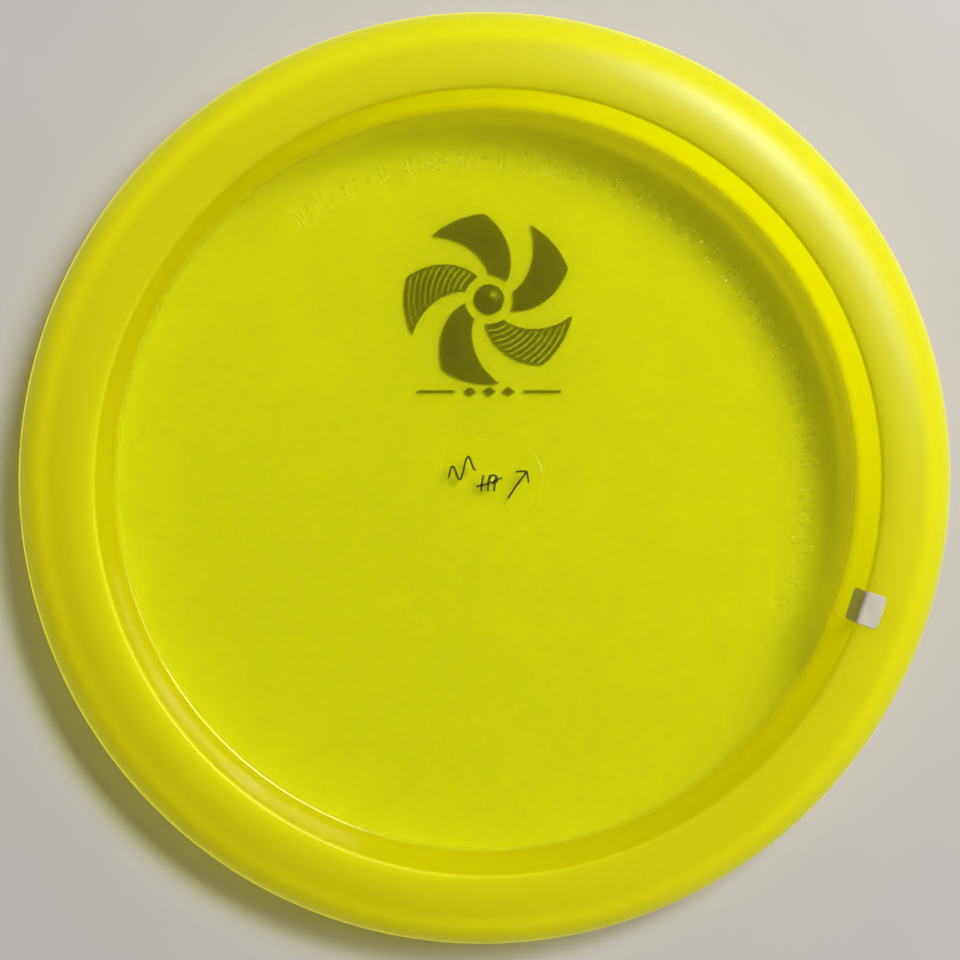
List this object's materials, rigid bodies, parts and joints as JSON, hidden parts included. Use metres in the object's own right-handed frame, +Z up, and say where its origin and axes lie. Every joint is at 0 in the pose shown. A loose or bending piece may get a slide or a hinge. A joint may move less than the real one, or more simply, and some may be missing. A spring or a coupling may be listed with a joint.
{
  "type": "flying disc",
  "caption": "Golf-style flying disc in clear-tinted plastic, lying hollow side up: thin flight plate, thick wing-shaped rim, stamped foil emblem and a small paper label.",
  "frame": {"origin": "on the table under the centre of the disc, which lies on its domed face", "axes": "+Z up, out of the hollow side and along the disc's axis; +Y from the centre towards the foil emblem"},
  "size_m": [0.211, 0.211, 0.0163],
  "materials": {
    "tinted_plastic": "glossy translucent fluorescent yellow-green, finely textured on the hollow side of the plate",
    "stamped_foil": "dark metallic hot-stamped foil",
    "label_paper": "matt off-white paper label"
  },
  "bodies": {
    "root": {"disc_body": "tinted_plastic", "foil_hub_dot": "stamped_foil", "foil_blade_1": "stamped_foil", "foil_blade_2": "stamped_foil", "foil_blade_3": "stamped_foil", "foil_blade_4": "stamped_foil", "foil_blade_5": "stamped_foil", "foil_rule_left": "stamped_foil", "foil_rule_right": "stamped_foil", "foil_diamond_1": "stamped_foil", "foil_diamond_2": "stamped_foil", "foil_diamond_3": "stamped_foil", "paper_label": "label_paper"}
  },
  "joints": []
}
